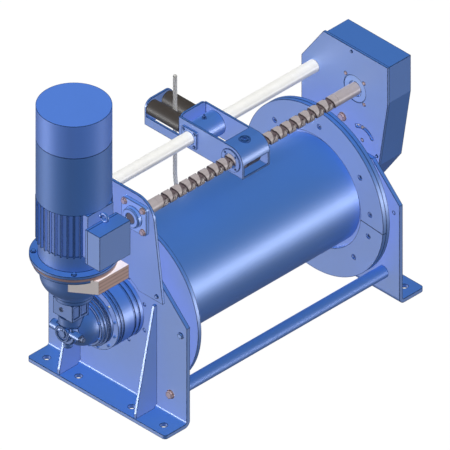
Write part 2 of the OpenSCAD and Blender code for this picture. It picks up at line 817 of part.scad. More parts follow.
// Planetary gearbox, bolted inside the near plate and standing out through it
bg = barrel_groove;
br = barrel_d / 2;
module gearbox_barrel() {
  color(BLUE) difference() {
    turned_x(0, axis_h) polygon([
      [0, -x_in + mount_flange_t], [mount_flange_d / 2, -x_in + mount_flange_t],
      [mount_flange_d / 2, -x_in], [br, -x_in],
      [br, -x_out - 14], [br - bg, -x_out - 14], [br - bg, -x_out - 20],
      [br, -x_out - 20], [br, -x_out - 35], [br - bg, -x_out - 35],
      [br - bg, -x_out - 41], [br, -x_out - 41], [br, x_bar + 29],
      [br - bg, x_bar + 29], [br - bg, x_bar + 23], [br, x_bar + 23],
      [br, x_bar + 16], [br - bg, x_bar + 16], [br - bg, x_bar + 10],
      [br, x_bar + 10], [br, x_bar], [0, x_bar]
    ]);
    xc(out_shaft_d / 2 + run_gap, -x_in + mount_flange_t - out_shaft_l, -x_in + 40, 0, axis_h);
    for (a = [22.5 : 45 : 337.5]) rotate_about_drum(a) {
      xc(bolt_d / 2 + bolt_gap, -x_in - 1, -x_in + mount_flange_t + 1, mount_bolt_r, 0);
    }
  }
}
sr = stage_d / 2;
module gearbox_stage() {
  color(DEEP) turned_x(0, axis_h) polygon([
    [0, x_bar], [sr, x_bar], [sr, x_bar - 12], [sr - 5, x_bar - 12],
    [sr - 5, x_bar - 17], [sr, x_bar - 17], [sr, x_bar - 22],
    [sr - 7, x_bar - 22], [sr - 7, x_stage], [0, x_stage]
  ]);
}
gear_bolt_r = (barrel_d + stage_d) / 4;
bevel_screw_d = (bevel_flange_d - bevel_d) / 4;
bevel_bolt_r = (bevel_flange_d + bevel_d) / 4;
module gearbox_bolts() {
  color(BOLTS) {
    for (a = [15 : 30 : 345]) rotate_about_drum(a) {
      translate([x_bar, gear_bolt_r, 0]) rotate([0, -90, 0]) capscrew(screw_d, 0);
    }
    for (a = [22.5 : 45 : 337.5]) rotate_about_drum(a) {
      translate([x_bevel, bevel_bolt_r, 0]) rotate([0, -90, 0]) capscrew(bevel_screw_d, 0);
    }
  }
}
// Right-angle housing with its domed end and the block below the motor
module bevel_housing() {
  color(BLUE) {
    xc(bevel_flange_d / 2, x_bevel, x_stage, 0, axis_h);
    turned_x(0, axis_h) {
      translate([0, x_round]) square([bevel_d / 2, x_bevel + 1 - x_round]);
      intersection() {
        translate([bevel_d / 2 - bevel_dome_r, x_round]) circle(bevel_dome_r);
        translate([0, x_dome]) square([bevel_d / 2, bevel_dome_r + 1]);
      }
      polygon([
        [0, x_dome + 30], [step_d / 2, x_dome + 30], [step_d / 2, x_dome - step_l + 3],
        [step_d / 2 - 3, x_dome - step_l], [boss_d / 2, x_dome - step_l],
        [boss_d / 2, x_dome - boss_l],
        [boss_d / 2 - 8, x_dome - boss_l], [boss_d / 2 - 8, x_dome - boss_l + 4],
        [boss_d / 2 - 16, x_dome - boss_l + 4], [boss_d / 2 - 16, x_dome - boss_l + 1],
        [0, x_dome - boss_l + 1]
      ]);
    }
    difference() {
      block(x_m - block_end, x_m + block_in, -block_d / 2, block_d / 2, z_block, z_neck);
      for (x = [x_m - block_end + 8, x_m - 10]) {
        block(x, x + 26, -block_d / 2 - 1, -block_d / 2 + 2, z_block + 10, z_neck - 12);
      }
    }
    translate([x_block, 0, 0]) rotate_extrude() polygon([
      [0, axis_h], [28, axis_h], [block_d / 2 - 2, axis_h + 34],
      [block_d / 2 - 2, z_block + 1], [0, z_block + 1]
    ]);
    yc(14, -lug_front, 10, x_lug, lug_z);
    yc(18, -10, lug_rear, x_lug, lug_z);
    zc(16, foot_boss_z, axis_h - 20, foot_boss_x, 0);
  }
}
module gearbox_plugs() {
  color(STEEL) {
    translate([x_lug, -lug_front, lug_z]) rotate([90, 0, 0]) {
      cylinder(r = 11, h = 3);
      cylinder(r = 9.5, h = 14, $fn = 6);
    }
    zc(9, foot_boss_z - 3, foot_boss_z, foot_boss_x, 0);
    translate([x_m - block_end, 5, z_neck - 34]) rotate([0, -90, 0]) difference() {
      cylinder(r = 9, h = 4);
      translate([0, 0, 1]) cylinder(r = 5, h = 4, $fn = 6);
    }
  }
}

// Bell between gearbox and motor
module input_bell() {
  color(BLUE) translate([x_m, 0, 0]) {
    zc(neck_d / 2 - 5, z_neck, z_bell);
    zc(neck_d / 2, z_bell - 9, z_bell + 8);
    rotate_extrude() {
      intersection() {
        translate([bell_d / 2 - bell_round, z_bell + bell_round]) circle(bell_round);
        translate([0, z_bell]) square([bell_d / 2, bell_round + 1]);
      }
      translate([0, z_bell]) square([bell_d / 2 - bell_round, bell_round + 1]);
      translate([0, z_bell + bell_round]) square([bell_d / 2, bell_h - bell_round]);
    }
    zc(bell_flange_r, z_bfl, z_ad);
  }
}
bell_flange_r = adapter_d / 2 - 6;
// Adapter ring with its thick tab towards the front
ar = adapter_d / 2;
tab_top = z_ad - 5;
tab_corner = [tab_off - tab_w / 2, -tab_y];
tab_touch = touch(tab_corner, [0, 0], bell_d / 2 + 2, -1);
module tab(z0, z1) {
  translate([0, 0, z0]) linear_extrude(z1 - z0) polygon([
    tab_corner, [tab_off + tab_w / 2, -tab_y], [tab_off + tab_w / 2, -60], [0, 0], tab_touch
  ]);
}
module adapter_plate() {
  color(TAN) translate([x_m, 0, 0]) difference() {
    union() {
      zc(ar, z_ad, z_mfl);
      tab(tab_top - tab_h, tab_top);
      intersection() {
        tab(tab_top - 1, z_ad + 1);
        zc(ar - 0.5, tab_top - 2, z_ad + 2);
      }
    }
    zc(bell_d / 2 + seat_gap, z_bell, z_bfl);
    zc(bell_flange_r + seat_gap, z_bfl - seat_gap, z_ad);
    for (a = [45 : 90 : 315]) rotate([0, 0, a]) {
      translate([(motor_flange_d + shield_d) / 4, 0, z_ad - 1]) cylinder(r = 5.5, h = adapter_t + 2);
    }
  }
}

// Motor
module motor_flange_shield() {
  color(BLUE) translate([x_m, 0, 0]) difference() {
    union() {
      zc(motor_flange_d / 2, z_mfl, z_shield);
      zc(shield_d / 2, z_shield - 1, z_stator);
    }
    for (a = [45 : 90 : 315]) rotate([0, 0, a]) {
      translate([(motor_flange_d + shield_d) / 4, 0, z_mfl - 1]) cylinder(r = 5.5, h = 40);
    }
  }
}
module motor_flange_bolts() {
  color(BOLTS) translate([x_m, 0, 0]) for (a = [45 : 90 : 315]) rotate([0, 0, a]) {
    translate([(motor_flange_d + shield_d) / 4, 0, z_shield]) hexbolt(10, motor_flange_t + adapter_t - 2);
  }
}
module motor_stator() {
  color(BLUE) translate([x_m, 0, 0]) {
    translate([0, 0, z_stator]) linear_extrude(stator_h) {
      circle(fin_root_r);
      for (i = [0 : fin_count - 1]) let (a = 360 * (i + 0.5) / fin_count) {
        if (cos(a + 90) < 0.85) rotate(a) translate([0, -fin_t / 2]) square([fin_d / 2, fin_t]);
      }
      translate([-tbox_w / 2 + 12, -pad_y]) square([tbox_w - 24, pad_y]);
    }
  }
}
module motor_fan_cowl() {
  color(DEEP) translate([x_m, 0, 0]) zc(cowl_d / 2, z_cowl, z_cap);
}
module motor_brake_cap() {
  color(BRIGHT) translate([x_m, 0, 0]) zc(cowl_d / 2, z_cap, z_top);
}
module terminal_box() {
  color(BLUE) translate([x_m, 0, 0]) {
    block(-tbox_w / 2, tbox_w / 2, -tbox_y + lid_d, -pad_y, tbox_z, tbox_z + tbox_h);
  }
}
module terminal_box_lid() {
  color(BRIGHT) translate([x_m, 0, 0]) {
    block(-tbox_w / 2, tbox_w / 2, -tbox_y, -tbox_y + lid_d, tbox_z, tbox_z + tbox_h);
  }
}
module lifting_eye() {
  color(BLUE) translate([x_m, -pad_y, tbox_z + tbox_h + 23]) {
    rotate([90, 0, 0]) cylinder(r = 8, h = 8);
    translate([0, -20, 0]) rotate([0, 90, 0]) rotate_extrude() translate([14, 0]) circle(5);
  }
}

// Tensioner behind the case plate: pivot pin, stud in the slot and slipper shoe
module tensioner_arm() {
  color(SCREW) {
    translate([0, -tens_y, tens_h]) {
      along_x(x_case, x_case + 8) {
        circle(13);
        translate([-10, 0]) square([20, arm_l]);
        translate([0, arm_l]) circle(13);
      }
      xc(6, x_out, x_case + 1);
      xc(6, x_out, x_case + 1, 0, slot_r);
      xc(11, x_case + 7, x_chain - 9, 0, arm_l);
      xc(shoe_r, x_chain - 9.5, x_chain + 9, 0, arm_l);
    }
  }
}
module idler_axle() {
  color(BOLTS) {
    xbolt(-1, x_out, -idler_y, idler_h, axle_d * 0.8, 1);
    xc(axle_d / 2, x_out, x_chain + tooth_half + 2, -idler_y, idler_h);
    xc(axle_d / 2 + 6, x_case, x_chain - tooth_half - move_gap, -idler_y, idler_h);
    xc(axle_d / 2 + 6, x_chain + tooth_half + move_gap, x_chain + tooth_half + 8,
      -idler_y, idler_h);
  }
}
// Loop of chain, as a band that lies just outside the teeth
module chain_loop(g) {
  hull() {
    translate([0, axis_h]) circle(tip(teeth_drum) + g, $fn = 48);
    translate([-screw_y, screw_h]) circle(tip(teeth_screw) + g, $fn = 96);
    translate([-idler_y, idler_h]) circle(tip(teeth_idler) + g, $fn = 64);
    translate([-tens_y, tens_h + arm_l]) circle(shoe_r + g, $fn = 32);
  }
}
module chain() {
  color(DARK) along_x(x_chain - 8, x_chain + 8) difference() {
    chain_loop(0.5 + chain_t);
    chain_loop(0.5);
  }
}
// Sprocket with n teeth about the X axis, middle at x = 0
module sprocket(n, bore_r) {
  along_x(-tooth_half, tooth_half) difference() {
    circle(tip(n));
    circle(bore_r);
    for (i = [0 : n - 1]) rotate(360 * i / n) translate([0, pr(n)]) {
      circle(roller_d / 2, $fn = 32);
      polygon([
        [-roller_d / 2, 0], [roller_d / 2, 0],
        [roller_d / 2 + 0.2 * pitch, 0.5 * pitch], [-roller_d / 2 - 0.2 * pitch, 0.5 * pitch]
      ]);
    }
  }
}
module sprocket_hub(r, l, bore_r) {
  difference() {
    xc(r, tooth_half, tooth_half + l);
    xc(bore_r, 0, tooth_half + l + 1);
  }
}

// Drum
module drum_shell() {
  color(BLUE) difference() {
    xc(drum_r, x_nf1, x_ff0, 0, axis_h);
    xc(drum_r - drum_wall, x_nf1 - 1, x_ff0 + 1, 0, axis_h);
  }
}
module drum_flange_near() {
  color(BLUE) difference() {
    xc(flange_d / 2, x_nf0, x_nf1, 0, axis_h);
    xc(drum_bore_r, x_nf0 - 1, x_nf1 + 1, 0, axis_h);
  }
}
ring_hole_at = [-80, -50, 0, 50, 80];
module drum_flange_far() {
  color(BLUE) difference() {
    xc(flange_d / 2, x_ff0, x_ff1, 0, axis_h);
    xc(drum_bore_r, x_ff0 - 1, x_ff1 + 1, 0, axis_h);
    for (h = [0, 180], a = ring_hole_at) {
      rotate_about_drum(90 + ring_split_deg + h + a) {
        xc(5.5, x_ff0 - 1, x_ff1 + 1, ring_bolt_r, 0);
      }
    }
  }
}
// One half of the split ring, its middle at the angle m
module ring_half(m) {
  difference() {
    intersection() {
      difference() {
        xc(flange_d / 2, x_ring, x_ff0, 0, axis_h);
        xc(ring_bore_d / 2, x_ring - 1, x_ff0 + 1, 0, axis_h);
      }
      rotate_about_drum(m) block(x_ring - 1, x_ff0 + 1, move_gap, flange_d, -flange_d, flange_d);
    }
    for (a = ring_hole_at) rotate_about_drum(m + a) {
      xc(5.5, x_ring - 1, x_ff0 + 1, ring_bolt_r, 0);
      xc(9, x_ring - 1, x_ring + 10, ring_bolt_r, 0);
    }
  }
}
module ring_half_upper() {
  color(BLUE) ring_half(90 + ring_split_deg);
}
module ring_half_lower() {
  color(BLUE) ring_half(270 + ring_split_deg);
}
module ring_bolts() {
  color(BOLTS) for (h = [0, 180], a = ring_hole_at) {
    rotate_about_drum(90 + ring_split_deg + h + a) {
      translate([x_ring + 10, ring_bolt_r, 0]) rotate([0, -90, 0]) {
        capscrew(8, ring_t - 10 + flange_t - 2);
      }
    }
  }
}
module drum_shaft() {
  color(SCREW) {
    xc(drum_bore_r - seat_gap, x_ff0, x_ff1, 0, axis_h);
    xc(drum_bore_r + hub_flange_w, x_ff1, x_ff1 + hub_flange_t, 0, axis_h);
    xc(shaft_r, x_ff1 + 1, x_case + 8, 0, axis_h);
    xc(shaft_end_r, x_case + 7, x_chain + 28, 0, axis_h);
  }
}
module drum_sprocket() {
  color(SCREW) translate([x_chain, 0, axis_h]) {
    sprocket(teeth_drum, shaft_end_r + seat_gap);
    sprocket_hub(drum_hub_r, hub_l, shaft_end_r + seat_gap);
  }
}
module drive_hub() {
  color(SCREW) {
    xc(drum_bore_r - seat_gap, x_nf0, x_nf1, 0, axis_h);
    xc(drum_bore_r + hub_flange_w + 5, x_nf0 - hub_flange_t, x_nf0, 0, axis_h);
    xc(out_shaft_d / 2, -x_in + mount_flange_t - out_shaft_l + 4, x_nf0 - 1, 0, axis_h);
  }
}

// Level-wind screw. Every station round the bar has, for each crossing at the top,
// the two walls of the groove that runs to -X and the two of the groove that runs to +X.
// The walls meet at 45 and 135 degrees from the top, where the lands begin and end.
function turn(j) = 360 * j / stations - 180;
function crossing(k) = (k - (crossings - 1) / 2) * lead;
function wall(j, k, e) = let (s = lead * abs(turn(j)) / 360, w = groove_w / 2)
  crossing(k) + [-s - w, -s + w, s - w, s + w][e];
function ring_point(x, j, r) = [x, r * sin(turn(j)), r * cos(turn(j))];
function opens(j) = abs(abs(turn(j)) - 45) < 0.1;
function closes(j) = abs(abs(turn(j)) - 135) < 0.1;
// Number of a wall's point: lvl 0 on the outside, lvl 1 on the groove's floor
function at(j, k, e, lvl) = let (jj = j % stations)
  opens(jj) && e == 2 ? at(jj, k, 1, lvl)
  : closes(jj) && e == 0 && k > 0 ? at(jj, k - 1, 3, lvl)
  : ((jj * crossings + k) * 4 + e) * 2 + lvl;
first_end = stations * crossings * 8;
function end_at(j, side) = first_end + side * stations + j % stations;
screw_points = concat(
  [for (j = [0 : stations - 1], k = [0 : crossings - 1], e = [0 : 3], lvl = [0, 1])
    ring_point(wall(j, k, e), j, lvl == 0 ? screw_r : floor_r)],
  [for (side = [0, 1], j = [0 : stations - 1])
    ring_point((side == 0 ? -1 : 1) * thread_half, j, screw_r)]
);
// Four-sided face as two triangles, left out where its corners fall together
function quad(a, b, c, d) = [
  if (a != b && b != c && c != a) [a, c, b],
  if (a != c && c != d && d != a) [a, d, c]
];
function strip(j, ka, ea, kb, eb, lvl) = quad(
  at(j, ka, ea, lvl), at(j, kb, eb, lvl), at(j + 1, kb, eb, lvl), at(j + 1, ka, ea, lvl));
function wall_up(j, k, e) = quad(
  at(j, k, e, 1), at(j, k, e, 0), at(j + 1, k, e, 0), at(j + 1, k, e, 1));
function wall_down(j, k, e) = quad(
  at(j, k, e, 0), at(j, k, e, 1), at(j + 1, k, e, 1), at(j + 1, k, e, 0));
// Floor that spans two grooves, with the point m where their walls meet beside it
function wide_floor(j, ka, ea, kb, eb, has0, m0, has1, m1) =
  has1 ? [
    [at(j, ka, ea, 1), m1, at(j, kb, eb, 1)],
    [at(j, kb, eb, 1), m1, at(j + 1, kb, eb, 1)],
    [at(j, ka, ea, 1), at(j + 1, ka, ea, 1), m1]
  ] : has0 ? [
    [at(j, ka, ea, 1), at(j + 1, ka, ea, 1), m0],
    [m0, at(j + 1, ka, ea, 1), at(j + 1, kb, eb, 1)],
    [m0, at(j + 1, kb, eb, 1), at(j, kb, eb, 1)]
  ] : strip(j, ka, ea, kb, eb, 1);
function zone(j) = let (m = abs((turn(j) + turn(j + 1)) / 2)) m < 45 ? 0 : m < 135 ? 1 : 2;
last = crossings - 1;
function end_strips(j) = concat(
  quad(end_at(j, 0), at(j, 0, 0, 0), at(j + 1, 0, 0, 0), end_at(j + 1, 0)),
  quad(at(j, last, 3, 0), end_at(j, 1), end_at(j + 1, 1), at(j + 1, last, 3, 0))
);
function narrow_zone(j) = [
  for (k = [0 : last]) each concat(
    wall_down(j, k, 0), wall_up(j, k, 3),
    wide_floor(j, k, 0, k, 3, opens(j), at(j, k, 1, 1), opens(j + 1), at(j + 1, k, 1, 1)),
    k < last ? strip(j, k, 3, k + 1, 0, 0) : []
  )
];
function open_zone(j) = [
  for (k = [0 : last]) each concat(
    wall_down(j, k, 0), strip(j, k, 0, k, 1, 1), wall_up(j, k, 1),
    strip(j, k, 1, k, 2, 0),
    wall_down(j, k, 2), strip(j, k, 2, k, 3, 1), wall_up(j, k, 3),
    k < last ? strip(j, k, 3, k + 1, 0, 0) : []
  )
];
function lower_zone(j) = concat(
  wall_down(j, 0, 0), strip(j, 0, 0, 0, 1, 1),
  strip(j, last, 2, last, 3, 1), wall_up(j, last, 3),
  [for (k = [0 : last]) each concat(
    wall_up(j, k, 1), strip(j, k, 1, k, 2, 0), wall_down(j, k, 2),
    k < last ? wide_floor(j, k, 2, k + 1, 1,
      closes(j), at(j, k, 3, 1), closes(j + 1), at(j + 1, k, 3, 1)) : []
  )]
);
screw_faces = concat(
  [for (j = [0 : stations - 1]) each concat(
    end_strips(j),
    zone(j) == 0 ? narrow_zone(j) : zone(j) == 1 ? open_zone(j) : lower_zone(j)
  )],
  [[for (j = [stations - 1 : -1 : 0]) end_at(j, 0)]],
  [[for (j = [0 : stations - 1]) end_at(j, 1)]]
);
module level_wind_screw() {
  color(SCREW) translate([0, -screw_y, screw_h]) {
    translate([x_s, 0, 0]) polyhedron(screw_points, screw_faces, convexity = 10);
    xc(screw_r + 0.05, -x_out + 3, x_s - thread_half);
    xc(screw_r + 0.05, x_s + thread_half, x_out + 6);
    xc(journal_r, -x_out - tower_t - bearing_hub_l + 3, -x_out + 4);
    xc(journal_r, x_out + 5, x_chain + tooth_half + 24);
  }
}
module screw_sprocket() {
  color(SCREW) translate([x_chain, -screw_y, screw_h]) {
    sprocket(teeth_screw, journal_r + seat_gap);
    sprocket_hub(screw_hub_r, hub_l, journal_r + seat_gap);
  }
}
module idler_sprocket() {
  color(SCREW) translate([x_chain, -idler_y, idler_h]) {
    sprocket(teeth_idler, axle_d / 2 + run_gap);
  }
}

// Carriage, drawn about the middle of the screw
module side_outline() {
  intersection() {
    translate([-screw_y, screw_h]) circle(nose_r);
    translate([-screw_y - nose_r, screw_h]) square([nose_r + 1, nose_r]);
  }
  translate([-screw_y, screw_h - 1]) square([screw_y + cross_y, nose_r + 1]);
  translate([-screw_y - nose_r, screw_h - car_low]) {
    square([screw_y + nose_r + cross_y, car_low]);
  }
}
// Room between the side plates: open below and behind the nose
module inner_outline() {
  low = screw_h - car_low - 1;
  translate([-screw_y, screw_h]) circle(nose_r - nose_t);
  translate([-screw_y, low]) square([nose_r + 1, screw_h + nose_r - nose_t - low]);
  translate([-screw_y - nose_r - 1, low]) square([nose_r + 2, screw_h - low]);
  translate([-screw_y + roof_back, low]) {
    square([cross_y - car_t + screw_y - roof_back, nose_r + car_low + 2]);
  }
}
screw_ring_r = screw_r + 20;
bush_screw = bush_side / 2 - 10;
module carriage_frame() {
  color(BLUE) translate([x_s, 0, 0]) difference() {
    union() {
      difference() {
        along_x(-car_h, car_h) side_outline();
        along_x(-car_in, car_in) inner_outline();
      }
      for (s = [0, 1]) mirror([s, 0, 0]) {
        xc(screw_ring_r, car_h - 1, car_h + 4, -screw_y, screw_h);
      }
      along_y(cross_y - car_t, cross_y) {
        translate([-car_h, screw_h - car_low]) square([car_w, car_low + cross_top - 25]);
        translate([-car_h + 25, screw_h]) square([car_w - 50, cross_top]);
        for (s = [-1, 1]) translate([s * (car_h - 25), screw_h + cross_top - 25]) circle(25);
      }
      block(-car_h + 1, car_h - 1, -screw_y - nose_r, -screw_y - nose_r + 4,
        screw_h - car_low, screw_h - car_low + 6);
    }
    xc(screw_r + 3, -car_h - 5, car_h + 5, -screw_y, screw_h);
    xc(rod_bush_r + seat_gap, -car_h - 1, car_h + 1, rod_y, screw_h);
    for (s = [-1, 1]) {
      yc(pin_d / 2 + seat_gap, cross_y - car_t - 1, cross_y + 1, s * groller_x, z_roll);
    }
    zc(fcap_d / 2 + seat_gap, screw_h + nose_r - 12, screw_h + nose_r + 1, 0, -screw_y);
    for (s = [0, 1], a = [-1, 1], b = [-1, 1]) mirror([s, 0, 0]) {
      xc(2.6, car_h - 6, car_h + 5, -screw_y + a * ring_screw, screw_h + b * ring_screw);
      xc(screw_d / 2 + bolt_gap, car_in - 1, car_h + 1,
        rod_y + a * bush_screw, screw_h + b * bush_screw);
    }
  }
}
ring_screw = (screw_r + 3 + screw_ring_r) / 2 / sqrt(2);
rod_bush_r = rod_d / 2 + 6;
module rod_bush_housing() {
  color(BLUE) translate([x_s, 0, 0]) difference() {
    union() {
      xc(rod_house_d / 2, -car_in + seat_gap, car_in - seat_gap, rod_y, screw_h);
      zc(7, screw_h + rod_house_d / 2 - 3, screw_h + rod_house_d / 2 + 5, 0, rod_y);
      zc(4, screw_h + rod_house_d / 2, screw_h + rod_house_d / 2 + 14, 0, rod_y);
    }
    xc(rod_bush_r + seat_gap, -car_h, car_h, rod_y, screw_h);
    for (s = [0, 1], a = [-1, 1], b = [-1, 1]) mirror([s, 0, 0]) {
      xc(screw_d / 2 + bolt_gap, car_in - 14, car_in + 1,
        rod_y + a * bush_screw, screw_h + b * bush_screw);
    }
  }
}
// Two flanged bushes, one in each side plate
module rod_bushes() {
  color(BLUE) translate([x_s, 0, 0]) for (s = [0, 1]) mirror([s, 0, 0]) difference() {
    union() {
      translate([0, rod_y, screw_h]) along_x(car_h, car_h + bush_flange_t) {
        rounded(-bush_side / 2, bush_side / 2, -bush_side / 2, bush_side / 2, 6);
      }
      xc(rod_bush_r, car_h - 40, car_h + 1, rod_y, screw_h);
    }
    xc(rod_d / 2 + run_gap, car_h - 41, car_h + bush_flange_t + 1, rod_y, screw_h);
    for (a = [-1, 1], b = [-1, 1]) {
      xc(screw_d / 2 + bolt_gap, car_h - 1, car_h + bush_flange_t + 1,
        rod_y + a * bush_screw, screw_h + b * bush_screw);
    }
  }
}
module carriage_screws() {
  color(BOLTS) translate([x_s, 0, 0]) for (s = [0, 1], a = [-1, 1], b = [-1, 1]) {
    mirror([s, 0, 0]) {
      xbolt(1, car_h + bush_flange_t, rod_y + a * bush_screw, screw_h + b * bush_screw,
        screw_d, bush_flange_t + car_t + 8);
      xbolt(1, car_h + 4, -screw_y + a * ring_screw, screw_h + b * ring_screw, 4, 8);
    }
  }
}
// Nut body that holds the tongue over the screw
nut_half = 30;
stem_r = 9;
module follower_nut() {
  color(BRONZE) translate([x_s, 0, 0]) difference() {
    xc(nose_r - nose_t - seat_gap, -nut_half, nut_half, -screw_y, screw_h);
    xc(screw_r + move_gap, -nut_half - 1, nut_half + 1, -screw_y, screw_h);
    zc(stem_r + seat_gap, screw_h, screw_h + nose_r, 0, -screw_y);
    zc(fcap_d / 2 + seat_gap, cap_seat, screw_h + nose_r, 0, -screw_y);
  }
}
cap_seat = screw_h + nose_r - nose_t - 8;
module follower_tongue() {
  color(STEEL) translate([x_s, -screw_y, 0]) {
    zc(tongue_d / 2, screw_h + floor_r + 0.4, screw_h + screw_r + 2);
    zc(stem_r, screw_h + screw_r + 1, cap_seat);
  }
}
module follower_cap() {
  top = screw_h + nose_r + 2;
  color(DEEP) translate([x_s, -screw_y, 0]) difference() {
    zc(fcap_d / 2, cap_seat, top);
    translate([0, 0, top - 6]) cylinder(r = 8, h = 7, $fn = 6);
    difference() {
      zc(15, top - 2, top + 1);
      zc(12.5, top - 3, top + 2);
    }
  }
}

// Bracket, pins and rollers that guide the rope
module roller_bracket() {
  color(BLUE) translate([x_s, 0, 0]) difference() {
    union() {
      for (s = [0, 1]) mirror([s, 0, 0]) {
        block(car_h - bracket_t, car_h, cross_y, bracket_y1 + bracket_t,
          bracket_low, bracket_low + strip_h);
      }
      along_y(bracket_y1, bracket_y1 + bracket_t) {
        translate([-car_h, bracket_low]) square([car_w, z_roll + 5 - bracket_low]);
        translate([-car_h + 30, screw_h]) square([car_w - 60, z_roll + 35 - screw_h]);
        for (s = [-1, 1]) translate([s * (car_h - 30), z_roll + 5]) circle(30);
      }
    }
    for (s = [-1, 1]) {
      yc(pin_d / 2 + seat_gap, bracket_y1 - 1, bracket_y1 + bracket_t + 1, s * groller_x, z_roll);
    }
  }
}
module roller_pins() {
  color(BOLTS) translate([x_s, 0, 0]) for (s = [-1, 1]) {
    yc(pin_d / 2, cross_y - car_t, bracket_y1 + bracket_t + 1, s * groller_x, z_roll);
    yc(pin_d / 2 + 4, bracket_y1 + bracket_t, bracket_y1 + bracket_t + 5, s * groller_x, z_roll);
  }
}
module guide_roller(s) {
  color(DARK) translate([x_s, 0, 0]) difference() {
    yc(groller_d / 2, roller_y0, roller_y0 + groller_l, s * groller_x, z_roll);
    yc(pin_d / 2 + run_gap, roller_y0 - 1, roller_y0 + groller_l + 1, s * groller_x, z_roll);
  }
}
module roller_near() {
  guide_roller(-1);
}
module roller_far() {
  guide_roller(1);
}
// Taut rope from the drum's back, up between the rollers: a ring every 2.5 diameters
rope_rings = concat(
  [for (k = [0 : len(rope_route) - 2]) let (
      a = rope_route[k], b = rope_route[k + 1], n = round((b - a) / (2.5 * rope_d))
    ) each [for (i = [0 : n - 1]) a + (b - a) * i / n]],
  [rope_route[len(rope_route) - 1]]
);
module rope() {
  n = len(rope_rings);
  color(GREY) translate([x_s, 0, 0]) polyhedron(
    [for (z = rope_rings, i = [0 : rope_sides - 1]) let (a = 360 * i / rope_sides)
      [rope_r * cos(a), rope_back(z) + rope_r * sin(a), z]],
    concat(
      [for (k = [0 : n - 2], i = [0 : rope_sides - 1]) let (m = (i + 1) % rope_sides)
        each [[k * rope_sides + i, (k + 1) * rope_sides + i, (k + 1) * rope_sides + m],
          [k * rope_sides + i, (k + 1) * rope_sides + m, k * rope_sides + m]]],
      [[for (i = [0 : rope_sides - 1]) i]],
      [[for (i = [rope_sides - 1 : -1 : 0]) (n - 1) * rope_sides + i]]
    ));
}

near_frame_plate();
far_frame_plate();
foot_gussets();
tie_rods();
tie_rod_bolts();
plate_screws();
tower_plate();
tower_bolts();
guide_rod();
guide_rod_bolts();
screw_bearing_near();
screw_bearing_far();
bearing_bolts();
chain_case_plate();
chain_case_cover();
case_screws();
drum_bearing_far();
drum_mount_bolts();
gearbox_barrel();
gearbox_stage();
gearbox_bolts();
bevel_housing();
gearbox_plugs();
input_bell();
adapter_plate();
motor_flange_shield();
motor_stator();
motor_fan_cowl();
motor_brake_cap();
terminal_box();
terminal_box_lid();
lifting_eye();
motor_flange_bolts();
tensioner_arm();
idler_axle();
chain();
drum_shell();
drum_flange_near();
drum_flange_far();
ring_half_upper();
ring_half_lower();
ring_bolts();
drum_shaft();
drum_sprocket();
drive_hub();
level_wind_screw();
screw_sprocket();
carriage_frame();
rod_bush_housing();
rod_bushes();
follower_nut();
follower_tongue();
follower_cap();
carriage_screws();
roller_bracket();
roller_pins();
roller_near();
roller_far();
idler_sprocket();
rope();
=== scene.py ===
"""Looks of the electric rope winch: paints, metals, rope, studio and camera.

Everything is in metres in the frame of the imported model: X along the drum, Z up.
"""
import json
import math

import bmesh
import bpy
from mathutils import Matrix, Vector


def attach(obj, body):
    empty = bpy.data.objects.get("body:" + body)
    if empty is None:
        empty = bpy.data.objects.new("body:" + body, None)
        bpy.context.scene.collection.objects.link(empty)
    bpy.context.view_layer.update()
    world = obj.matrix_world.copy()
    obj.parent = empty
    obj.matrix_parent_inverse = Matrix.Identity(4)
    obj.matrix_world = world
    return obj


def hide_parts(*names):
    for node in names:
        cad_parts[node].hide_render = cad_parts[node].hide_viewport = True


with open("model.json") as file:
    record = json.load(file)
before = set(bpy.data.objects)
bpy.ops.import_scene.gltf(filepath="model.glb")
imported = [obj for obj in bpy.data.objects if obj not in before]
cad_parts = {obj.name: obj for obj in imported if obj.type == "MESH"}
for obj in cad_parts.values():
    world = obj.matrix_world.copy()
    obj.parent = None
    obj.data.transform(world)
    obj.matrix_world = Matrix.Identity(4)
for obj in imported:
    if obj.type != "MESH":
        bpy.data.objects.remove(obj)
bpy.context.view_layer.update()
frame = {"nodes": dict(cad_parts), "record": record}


def put_in_scene(name, data):
    """Makes an object of a mesh, a lamp or a lens, and links it to the scene."""
    made = bpy.data.objects.new(name, data)
    bpy.context.scene.collection.objects.link(made)
    return made


def aim(thing, axis, way):
    """Turns a lens or a lamp so that its axis points that way."""
    thing.rotation_mode = "QUATERNION"
    thing.rotation_quaternion = Vector(way).to_track_quat(axis, "Y")


# Camera: a true isometric view, from the near end and the front

TO_CAMERA = Vector((-1, -1, 1)).normalized()
LOOK_AT = Vector((-0.0027, 0, 0.4106))
VIEW_WIDTH = 1.4955
CAMERA_DISTANCE = 8
CAMERA_REACH = 60


def make_camera():
    lens = bpy.data.cameras.new("camera")
    lens.type = "ORTHO"
    lens.ortho_scale = VIEW_WIDTH
    lens.clip_end = CAMERA_REACH
    camera = put_in_scene("camera", lens)
    camera.location = LOOK_AT + CAMERA_DISTANCE * TO_CAMERA
    aim(camera, "-Z", -TO_CAMERA)
    bpy.context.scene.camera = camera


# Shader maths

# Cosine at which a face counts as facing a way, and how steeply its mask rises
FACING_COSINE, FACING_RISE = 0.8, 8.0
# Cosine under which an edge's line starts, and how steeply it darkens
EDGE_COSINE, EDGE_RISE = 0.99, 45.0
EDGE_SAMPLES = 6
# How steeply a spot starts at its rim
SPOT_RISE = 2000.0
NOISE_ROUGHNESS = 0.55
# How far tool marks swing the roughness, and how deep they are
MARK_SWING, MARK_DEPTH = 0.14, 0.00004


